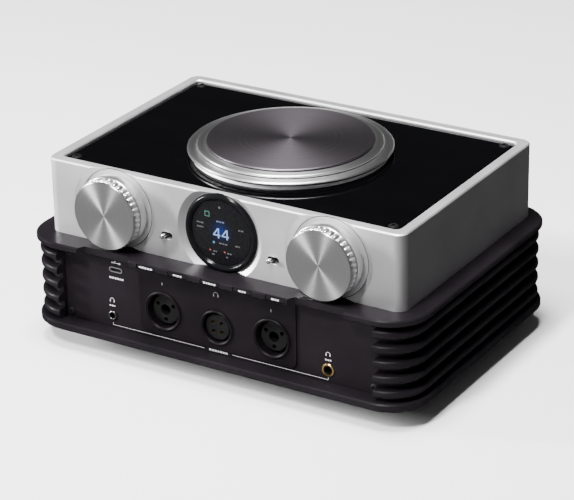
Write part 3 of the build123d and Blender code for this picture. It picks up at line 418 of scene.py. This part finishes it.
def disc_step(name, node, inner, chamfer, material, bottom=None):
    """One turned step with a bright chamfer, undercut by a narrow groove that a black ring fills as painted
    shadow.
    """
    radius, low, top = span(node)
    low = low if bottom is None else bottom
    radius -= PROUD
    top -= PROUD
    lift = low + SHADOW_GAP
    profile = [(inner, low), (radius - 2 * SHADOW_DEPTH, low), (radius - 2 * SHADOW_DEPTH, lift),
               (radius - EDGE_BREAK, lift), (radius, lift + EDGE_BREAK), (radius, top - chamfer),
               (radius - chamfer, top), (inner, top)]
    bm = lathe(softened(profile, EDGE_BREAK))
    step = piece_from(bm, name, material, "chassis", FINE_ANGLE)
    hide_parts(node)
    # Painted shadow: a black ring fills the groove under the step, where only shade falls.
    line = [(radius - 2.2 * SHADOW_DEPTH, low), (radius - SHADOW_DEPTH, low),
            (radius - SHADOW_DEPTH, lift + PROUD), (radius - 2.2 * SHADOW_DEPTH, lift + PROUD)]
    piece_from(lathe(line), name + "_painted_shadow_line", moulding_black_and_painted_shade, "chassis")


def disc_foot():
    """Polished base ring whose wall leans in slightly from the glass, so that it catches the light."""
    radius, low, top = span("disc_base_ring")
    radius -= PROUD
    profile = [(FOOT_BORE, low), (radius - EDGE_BREAK, low), (radius, low + EDGE_BREAK),
               (radius - FOOT_LEAN, top - PROUD), (FOOT_BORE, top - PROUD)]
    bm = lathe(softened(profile, 0.15 * MM))
    foot = piece_from(bm, "polished_base_ring", satin, "chassis", FINE_ANGLE)
    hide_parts("disc_base_ring")


disc_foot()
disc_step("turned_outer_ring", "disc_outer_ring", RING_BORE, 0.7 * MM, step_metal)
disc_step("turned_middle_ring", "disc_middle_ring", RING_BORE, 0.6 * MM, step_metal)
disc_step("turned_top_plate", "disc_top_plate", 0.0, 0.5 * MM, disc_metal,
          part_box("disc_middle_ring")[1].z)


# ------------------------------------------------------------------ knobs
TEETH = 40
TOOTH_SEGMENTS = 12
GRIP_LENGTH = 3.9 * MM
NECK_LENGTH = 0.7 * MM
NECK_RADIUS = 18.8 * MM
GRIP_BORE = 17.5 * MM
SHAFT_HOLE = 4.0 * MM
SKIRT_BORE = 18.0 * MM
SKIRT_STEP = 2.6 * MM
SKIRT_STEP_LENGTH = 1.5 * MM
SKIRT_CHAMFER = 0.5 * MM
DISH_DEPTH = 2.4 * MM
DISH_FLOOR_RADIUS = 24.0 * MM
DISH_RING_WIDTH = 0.35 * MM


def knob(side, body):
    """Skirt, fluted grip ring, a neck painted black as the shadow in the gap behind the face, and the spun
    face disc.
    """
    low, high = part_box(side + "_knob_body")
    face_low, face_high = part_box(side + "_knob_face")
    x = (low.x + high.x) / 2
    z = (low.z + high.z) / 2
    skirt = (high.x - low.x) / 2
    back, neck = -high.y, -face_high.y
    grip_front = neck - NECK_LENGTH
    grip_back = grip_front - GRIP_LENGTH
    step = back + SKIRT_STEP_LENGTH
    profile = [(SHAFT_HOLE, back), (skirt - SKIRT_STEP, back), (skirt - SKIRT_STEP, step),
               (skirt - SKIRT_CHAMFER, step), (skirt - PROUD, step + 0.4 * MM),
               (skirt - PROUD, grip_back - SKIRT_CHAMFER), (skirt - SKIRT_CHAMFER, grip_back),
               (SKIRT_BORE, grip_back)]
    bm = facing_front(lathe(softened(profile, 0.3 * MM)), x, z)
    skirt_piece = piece_from(bm, side + "_knob_skirt", grip_metal, body)
    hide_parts(side + "_knob_body")

    rows = [(GRIP_BORE, grip_back), (skirt - 0.5 * MM, grip_back),
            (skirt - 0.45 * MM, grip_back + 0.5 * MM), (skirt - 0.45 * MM, grip_front - 0.6 * MM),
            (skirt - 0.7 * MM, grip_front - 0.2 * MM), (skirt - 1.2 * MM, grip_front),
            (GRIP_BORE, grip_front)]
    flute_depths = [0.0, 0.0, 0.55 * MM, 0.75 * MM, 0.75 * MM, 0.5 * MM, 0.0]

    def scallop(index, angle):
        phase = math.cos(angle * TEETH)
        return -flute_depths[index] * (0.5 - 0.5 * phase) ** 1.6

    bm = lathe(rows, TEETH * TOOTH_SEGMENTS, scallop)
    piece_from(facing_front(bm, x, z), side + "_knob_grip", grip_metal, body, 40.0)

    # Painted shadow: the neck in the gap between grip and face takes the chassis black.
    bm = lathe([(0.0, grip_front), (NECK_RADIUS, grip_front), (NECK_RADIUS, neck), (0.0, neck)])
    piece_from(facing_front(bm, x, z), side + "_knob_neck", chassis_black_and_neck_shade, body)

    front = -face_low.y
    radius = (face_high.x - face_low.x) / 2
    profile = [(0.0, neck), (radius - 0.25 * MM, neck), (radius - PROUD, neck + 0.2 * MM),
               (radius - PROUD, front - 0.35 * MM), (radius - 0.35 * MM, front - PROUD),
               (0.0, front - PROUD)]
    bm = facing_front(lathe(softened(profile, 0.15 * MM)), x, z)
    disc = piece_from(bm, side + "_knob_disc", knob_metal, body, FINE_ANGLE)
    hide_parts(side + "_knob_face")


def dish_dark_ring(side):
    """Fine dark ring round the floor of the knob's dish, where the floor meets its sloping wall."""
    middle = centre_of(side + "_knob_body")
    floor = -front_of("upper_casing") - DISH_DEPTH
    outer = DISH_FLOOR_RADIUS - 0.05 * MM
    inner = outer - DISH_RING_WIDTH
    profile = [(inner, floor - PROUD), (outer, floor - PROUD),
               (outer, floor + PROUD), (inner, floor + PROUD)]
    bm = facing_front(lathe(profile), middle.x, middle.z)
    piece_from(bm, side + "_dish_dark_ring", moulding_black_and_painted_shade, "chassis")


for side in ("left", "right"):
    knob(side, side + "_knob")
    dish_dark_ring(side)


# ------------------------------------------------------------------ display
GLOW_RADIUS = 10.5 * MM
GLOW_RISE = 1.0 * MM
GLOW_FALLOFF = 3.0
LENS_THICKNESS = 1.3 * MM
LENS_CLEARANCE = 0.1 * MM
RING_BEVEL = 1.2 * MM
RING_FLAT = 2.6 * MM  # from the ring's rim to where it starts to slope in to the lens


def display_screen():
    """Black lens with a blue glow behind the number, and its ring; gives the lens's centre and face."""
    low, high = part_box("display_lens")
    centre = centre_of("display_lens")
    radius = (high.x - low.x) / 2
    face = -low.y
    back = face - LENS_THICKNESS
    profile = [(0.0, back), (radius, back), (radius, face - 0.25 * MM),
               (radius - 0.3 * MM, face - 0.06 * MM), (0.0, face - 0.05 * MM)]
    bm = facing_front(lathe(softened(profile, 0.1 * MM)), centre.x, centre.z)
    s = Shader("display_glass")
    s.set(Specular_IOR_Level=0.12, Emission_Strength=1.0)
    split = s.nodes.new("ShaderNodeSeparateXYZ")
    s.link(s.coordinates.outputs["Object"], split.inputs[0])
    across = s.math("SUBTRACT", split.outputs["X"], centre.x)
    upward = s.math("SUBTRACT", split.outputs["Z"], centre.z + GLOW_RISE)
    squares = s.math("ADD", s.math("POWER", across, 2.0), s.math("POWER", upward, 2.0))
    distance = s.math("SQRT", squares, 0.0)
    halo = s.math("POWER", s.spread(distance, 1.0, 0.0, 0.0, GLOW_RADIUS), GLOW_FALLOFF)
    ramp = s.nodes.new("ShaderNodeValToRGB")
    ramp.color_ramp.elements[0].color = (0.0035, 0.0032, 0.0060, 1)
    ramp.color_ramp.elements[1].color = (0.002, 0.035, 0.26, 1)
    s.link(halo, ramp.inputs["Fac"])
    s.link(ramp.outputs["Color"], s.principled.inputs["Emission Color"])
    haze = s.noise(900.0, 2.0, 0.5)
    material = s.finish(s.tint(haze, grey(0.003), grey(0.005)), s.spread(haze, 0.05, 0.08))
    screen = piece_from(bm, "display_screen", material, "chassis", FINE_ANGLE)
    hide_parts("display_lens")

    low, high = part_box("display_bezel")
    outer_radius = (high.x - low.x) / 2
    back, front = -high.y, -low.y
    profile = [(radius + LENS_CLEARANCE, back + PROUD), (outer_radius - PROUD, back + PROUD),
               (outer_radius - PROUD, front - RING_BEVEL), (outer_radius - RING_BEVEL, front - PROUD),
               (outer_radius - RING_FLAT, front - PROUD), (radius + LENS_CLEARANCE + PROUD, face),
               (radius + LENS_CLEARANCE, face - 1.0 * MM)]
    bm = facing_front(lathe(softened(profile, 0.8 * MM, 5)), centre.x, centre.z)
    ring = piece_from(bm, "display_ring", bezel_black, "chassis", FINE_ANGLE)
    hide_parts("display_bezel")
    return centre, -face


# ------------------------------------------------------------------ flat marks
class Marks:
    """Thin flat shapes drawn on a plane that faces the front, in millimetres from an origin."""

    DOT_SIDES = 16
    ARCH_STEPS = 14
    LEGEND_GAP = 0.45

    def __init__(self, x, y, z, thickness=0.05):
        self.bm = bmesh.new()
        self.place = Vector((x, y, z))
        self.thickness = thickness * MM

    def shape(self, points):
        front, back = [
            [self.bm.verts.new(self.place + Vector((x * MM, y, z * MM))) for x, z in points]
            for y in (-self.thickness, 0.0)
        ]
        self.bm.faces.new(front)
        self.bm.faces.new(back[::-1])
        for i in range(len(points)):
            j = (i + 1) % len(points)
            self.bm.faces.new([front[i], back[i], back[j], front[j]])

    def bar(self, x0, z0, x1, z1, width):
        """Straight stroke with square ends."""
        along = Vector((x1 - x0, z1 - z0)).normalized() * (width / 2)
        side = Vector((-along.y, along.x))
        self.shape([(x0 + side.x, z0 + side.y), (x0 - side.x, z0 - side.y),
                    (x1 - side.x, z1 - side.y), (x1 + side.x, z1 + side.y)])

    def box(self, x, z, width, height):
        self.bar(x - width / 2, z, x + width / 2, z, height)

    def dot(self, x, z, radius):
        angles = [2 * math.pi * i / self.DOT_SIDES for i in range(self.DOT_SIDES)]
        self.shape([(x + radius * math.cos(angle), z + radius * math.sin(angle)) for angle in angles])

    def arch(self, x, z, radius, width):
        """Half ring, open downwards."""
        inner, outer = [], []
        for i in range(self.ARCH_STEPS + 1):
            angle = math.pi * i / self.ARCH_STEPS
            for side, reach in ((outer, radius + width / 2), (inner, radius - width / 2)):
                side.append((x + reach * math.cos(angle), z + reach * math.sin(angle)))
        for i in range(self.ARCH_STEPS):
            self.shape([outer[i], outer[i + 1], inner[i + 1], inner[i]])

    def legend(self, x, z, pattern, height):
        """A row of plain dashes and dots where a legend stands; pattern holds their widths."""
        total = sum(pattern) + self.LEGEND_GAP * (len(pattern) - 1)
        left = x - total / 2
        for width in pattern:
            self.box(left + width / 2, z, width, height)
            left += width + self.LEGEND_GAP

    def headphones(self, x, z, size):
        """Outline of a pair of headphones: a band and two cups."""
        self.arch(x, z, size * 0.46, size * 0.09)
        for side in (-1, 1):
            self.box(x + side * size * 0.43, z - size * 0.17, size * 0.17, size * 0.34)

    def done(self, name, material, body="chassis"):
        piece_from(self.bm, name, material, body)


MARK_SETBACK = 0.045 * MM  # from the lens's CAD face back to its marks, just proud of its visual face


def display_graphics(centre, face_y):
    """Level number with small status marks round it."""
    y = face_y + MARK_SETBACK
    digits = Marks(centre.x, y, centre.z)
    for left in (-5.3, 0.35):
        digits.bar(left + 3.5, -3.5, left + 3.5, 2.5, 0.9)
        digits.bar(left + 3.15, 2.3, left + 0.3, -1.7, 0.8)
        digits.bar(left, -1.8, left + 4.7, -1.8, 0.8)
    digits.done("display_digits", glowing("lit_digits", (0.34, 0.52, 1.0), 1.25))

    faint = Marks(centre.x, y, centre.z)
    legends = [
        (-13.8, 3.9, (1.2, 0.8, 1.4)), (-13.8, 1.3, (1.0, 1.5, 0.7)), (13.0, 3.9, (1.2, 1.6)),
        (10.6, -6.1, (1.6, 0.9)), (-4.4, -11.9, (1.3, 0.8)), (-5.6, -13.9, (1.7,)),
        (5.0, -11.7, (1.4, 1.0)), (3.4, -14.1, (1.2,)), (1.2, -6.4, (1.8, 1.1, 1.6)),
    ]
    for x, z, pattern in legends:
        faint.legend(x, z, pattern, 0.75)
    faint.dot(-0.7, 15.2, 0.7)
    faint.done("display_status_marks", glowing("lit_grey", (0.30, 0.30, 0.33), 0.45))

    above = Marks(centre.x, y, centre.z)
    above.legend(-0.4, 6.6, (1.6, 1.0, 1.6), 0.9)
    above.done("display_mode_marks", glowing("lit_blue_grey", (0.16, 0.26, 0.55), 0.8))

    green = Marks(centre.x, y, centre.z)
    green.bar(-10.6, 8.6, -7.4, 8.6, 0.5)
    green.bar(-10.6, 11.4, -7.4, 11.4, 0.5)
    green.bar(-10.4, 8.6, -10.4, 11.4, 0.5)
    green.bar(-7.6, 8.6, -7.6, 11.4, 0.5)
    green.done("display_input_mark", glowing("lit_green", (0.05, 0.38, 0.28), 0.6))

    teal = Marks(centre.x, y, centre.z)
    teal.dot(-5.0, -6.5, 0.75)
    teal.done("display_output_mark", glowing("lit_teal", (0.02, 0.42, 0.75), 0.9))

    red = Marks(centre.x, y, centre.z)
    red.dot(-7.6, -11.6, 0.55)
    red.dot(2.0, -11.3, 0.55)
    red.done("display_alert_marks", glowing("lit_red", (0.75, 0.06, 0.05), 0.8))


display_centre, lens_y = display_screen()
display_graphics(display_centre, lens_y)


# Widths and offsets of the printed marks, in millimetres, as Marks takes them.
LINE_WIDTH = 0.26
LINE_BREAK = 9.5  # half the gap left for the legend in the middle of the line
LINE_RISE = 1.5
LINE_ABOVE_PLATE = 1.7
JACK_SIGN_RISE = 9.6
JACK_SIGN_SIZE = 3.0
JACK_LEGEND_RISE = 6.2
PORT_X, PORT_Z = -68.2, 54.4  # middle of the flat port in the front panel
PORT_LEGEND_DROP = 5.4
PORT_SIGN_RISE = 4.2
PORT_SIGN_WIDTH = 0.35
COMBO_TICK_RISE = 17.2
XLR_SIGN_RISE = 20.4
XLR_SIGN_SIZE = 3.4


def front_panel_marks():
    """Printed line with turned-up ends, headphone signs and plain legends in place of words."""
    panel_y = front_of("front_panel")
    plate_y = front_of("socket_plate")
    small = centre_of("small_jack")
    large = centre_of("mid_jack_ring")
    plate_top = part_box("chassis_bottom_plate")[1].z
    marks = Marks(0, panel_y, 0, 0.03)
    low, high, z = small.x / MM, large.x / MM, plate_top / MM + LINE_ABOVE_PLATE
    marks.bar(low, z, -LINE_BREAK, z, LINE_WIDTH)
    marks.bar(LINE_BREAK, z, high, z, LINE_WIDTH)
    marks.bar(low, z, low, z + LINE_RISE, LINE_WIDTH)
    marks.bar(high, z, high, z + LINE_RISE, LINE_WIDTH)
    marks.legend(0, z, (1.6, 1.2, 1.6, 1.0, 1.6, 1.2, 1.4), 1.1)
    for jack in (small, large):
        marks.headphones(jack.x / MM, jack.z / MM + JACK_SIGN_RISE, JACK_SIGN_SIZE)
        marks.legend(jack.x / MM, jack.z / MM + JACK_LEGEND_RISE, (1.0, 1.2, 0.8), 0.8)
    marks.legend(PORT_X, PORT_Z - PORT_LEGEND_DROP, (1.5, 1.3, 1.2, 1.4, 0.7, 1.3), 1.1)
    sign_z = PORT_Z + PORT_SIGN_RISE
    marks.bar(PORT_X - 3.0, sign_z, PORT_X + 2.2, sign_z, PORT_SIGN_WIDTH)
    marks.bar(PORT_X - 1.4, sign_z, PORT_X - 0.2, sign_z + 1.2, PORT_SIGN_WIDTH)
    marks.dot(PORT_X + 2.6, sign_z, 0.6)
    marks.done("panel_print", ink)

    faint = Marks(0, plate_y, 0)
    combo_low, combo_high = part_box("combo_shells")
    socket_radius = (combo_high.z - combo_low.z) / 2
    for socket_x in (combo_low.x + socket_radius, combo_high.x - socket_radius):
        x = socket_x / MM
        z = (combo_low.z + combo_high.z) / 2 / MM + COMBO_TICK_RISE
        faint.bar(x, z - 0.9, x, z + 0.9, 0.5)
    xlr = centre_of("xlr_shell")
    faint.headphones(0, xlr.z / MM + XLR_SIGN_RISE, XLR_SIGN_SIZE)
    faint.done("socket_plate_print", dim_ink)


front_panel_marks()


NUT_BORE = 1.85 * MM
NUT_RADIUS = 2.9 * MM
NUT_HEIGHT = 0.8 * MM


def jack_nut():
    """Slim nut round the small headphone jack."""
    middle = centre_of("small_jack")
    face = -front_of("front_panel")
    top = face + NUT_HEIGHT
    profile = [(NUT_BORE, face), (NUT_RADIUS, face), (NUT_RADIUS, face + 0.5 * MM),
               (NUT_RADIUS - 0.4 * MM, top), (NUT_BORE + 0.15 * MM, top), (NUT_BORE, face + 0.4 * MM)]
    bm = facing_front(lathe(softened(profile, 0.1 * MM), SEGMENTS // 2), middle.x, middle.z)
    piece_from(bm, "small_jack_nut", nut_metal, "chassis")


jack_nut()


def key_legends():
    """Plain white dashes on the five front keys."""
    patterns = [
        (1.2, 1.6, 1.2, 1.6, 1.4), (1.3, 0.6, 1.3, 1.1), (1.4, 1.0, 1.6, 0.8, 1.4),
        (1.8, 1.0, 1.0), (1.8, 1.0, 1.2),
    ]
    for number, pattern in enumerate(patterns, 1):
        node = "key_" + str(number)
        middle = centre_of(node)
        marks = Marks(middle.x, front_of(node), middle.z)
        marks.legend(0, 0, pattern, 1.0)
        marks.done(node + "_legend", ink, "front_key_" + str(number))


key_legends()


# ------------------------------------------------------------------ stage, light and camera
FLOOR_HALF_WIDTH = 4.0
LIGHT_TARGET = Vector((0.0, -0.03, 0.06))
SOFTBOXES = [  # name, place, width, height, watts
    ("overhead", (0.02, -0.20, 1.7), 0.55, 0.75, 80),
    ("front_top_strip", (-0.05, -0.95, 1.25), 0.16, 0.30, 36),
    ("left_strip", (-1.31, -0.65, 0.42), 0.10, 0.40, 50),
]


def softbox(name, place, width, height, watts):
    """Rectangular area light aimed at the middle of the object."""
    light = bpy.data.lights.new(name, "AREA")
    light.shape = "RECTANGLE"
    light.size = width
    light.size_y = height
    light.energy = watts
    lamp = bpy.data.objects.new(name, light)
    bpy.context.scene.collection.objects.link(lamp)
    lamp.location = place
    direction = LIGHT_TARGET - Vector(place)
    lamp.rotation_euler = direction.to_track_quat("-Z", "Y").to_euler()


def studio():
    """Paper floor, unseen by glossy rays so that metal and glass don't mirror it, and three softboxes."""
    bm = bmesh.new()
    bmesh.ops.create_grid(bm, x_segments=8, y_segments=8, size=FLOOR_HALF_WIDTH)
    mesh = bpy.data.meshes.new("studio_floor")
    bm.to_mesh(mesh)
    bm.free()
    mesh.materials.append(floor_paper())
    floor = bpy.data.objects.new("studio_floor", mesh)
    bpy.context.scene.collection.objects.link(floor)
    floor.visible_glossy = False

    graded_surround()
    for box in SOFTBOXES:
        softbox(*box)


BRIGHT_SIDE = Vector((-0.45, -0.85, -0.20)).normalized()
SURROUND_DIM = 0.045
SURROUND_BRIGHT = 0.45


def graded_surround():
    """Dim studio surround, brighter towards the front left than behind on the right."""
    world = bpy.data.worlds.new("studio_world")
    world.use_nodes = True
    nodes = world.node_tree.nodes
    links = world.node_tree.links
    place = nodes.new("ShaderNodeTexCoord")
    facing = nodes.new("ShaderNodeVectorMath")
    facing.operation = "DOT_PRODUCT"
    facing.inputs[1].default_value = BRIGHT_SIDE
    grade = nodes.new("ShaderNodeMapRange")
    grade.interpolation_type = "SMOOTHSTEP"
    grade.inputs["From Min"].default_value = -0.1
    grade.inputs["From Max"].default_value = 1.0
    grade.inputs["To Min"].default_value = SURROUND_DIM
    grade.inputs["To Max"].default_value = SURROUND_BRIGHT
    links.new(place.outputs["Generated"], facing.inputs[0])
    links.new(facing.outputs["Value"], grade.inputs["Value"])
    links.new(grade.outputs["Result"], nodes["Background"].inputs["Strength"])
    nodes["Background"].inputs["Color"].default_value = (1, 1, 1, 1)
    bpy.context.scene.world = world


CAMERA_PLACE = Vector((0.70138, -1.14716, 0.65214))
CAMERA_AZIMUTH = math.radians(31.583)
CAMERA_ELEVATION = math.radians(24.148)
CAMERA_ROLL = math.radians(-1.108)
CAMERA_LENS = 158.0
CAMERA_SENSOR = 36.0


def camera():
    """Long lens, a little above and to the right of the front."""
    data = bpy.data.cameras.new("camera")
    data.sensor_width = CAMERA_SENSOR
    data.lens = CAMERA_LENS
    view = bpy.data.objects.new("camera", data)
    bpy.context.scene.collection.objects.link(view)
    level = math.cos(CAMERA_ELEVATION)
    back = Vector((math.sin(CAMERA_AZIMUTH) * level, -math.cos(CAMERA_AZIMUTH) * level,
                   math.sin(CAMERA_ELEVATION)))
    right = (-back).cross(Vector((0, 0, 1))).normalized()
    up = right.cross(-back)
    cosine, sine = math.cos(CAMERA_ROLL), math.sin(CAMERA_ROLL)
    right, up = right * cosine + up * sine, up * cosine - right * sine
    turn = Matrix((right, up, back)).transposed().to_4x4()
    view.matrix_world = Matrix.Translation(CAMERA_PLACE) @ turn
    bpy.context.scene.camera = view


studio()
camera()
